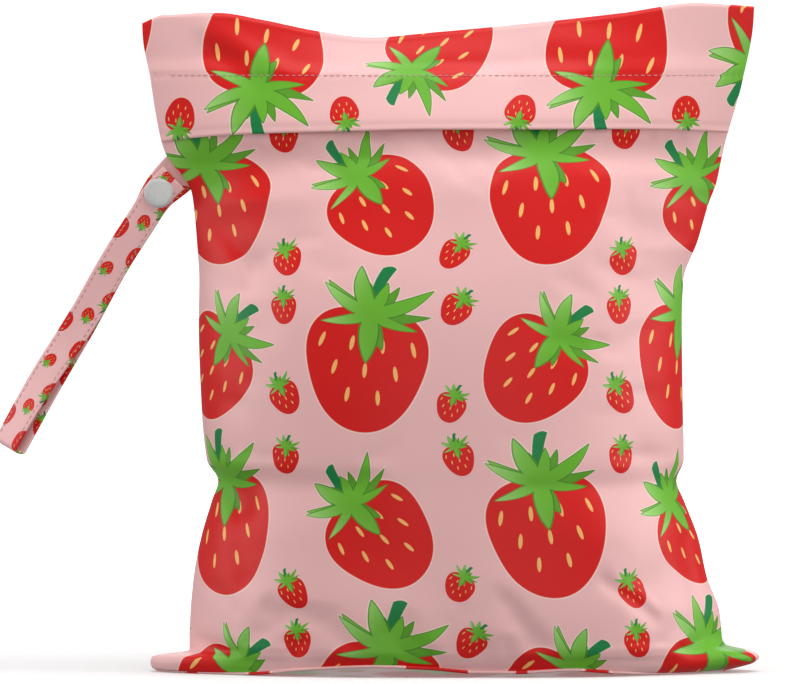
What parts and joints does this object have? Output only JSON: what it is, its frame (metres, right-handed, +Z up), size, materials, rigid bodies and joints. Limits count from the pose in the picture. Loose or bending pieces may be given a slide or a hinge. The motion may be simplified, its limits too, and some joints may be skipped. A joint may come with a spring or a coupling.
{
  "type": "cloth diaper wet bag",
  "caption": "Stuffed, standing zip pouch of laminated printed cloth, with a fold-over flap along the top and a snap-closed hanging strap on one side seam.",
  "frame": {"origin": "on the surface that the bag stands on, under its middle, on the base that the back panel makes", "axes": "+Z up, the front with the flap faces -Y, +X to the right seen from the front; the strap hangs on the -X side"},
  "size_m": [0.3744, 0.1098, 0.3271],
  "materials": {
    "printed_cloth": "smooth laminated polyester with a soft sheen, pale pink with a printed fruit pattern",
    "strap_cloth": "the same laminated polyester with a smaller print",
    "zipper_tape": "plain woven zipper tape",
    "snap_plastic": "satin pale grey acetal"
  },
  "bodies": {
    "root": {"front_panel": "printed_cloth", "back_panel_and_flap": "printed_cloth", "zipper": "zipper_tape", "carry_strap": "strap_cloth", "snap_cap": "snap_plastic", "snap_socket": "snap_plastic", "snap_back_cap": "snap_plastic"}
  },
  "joints": []
}
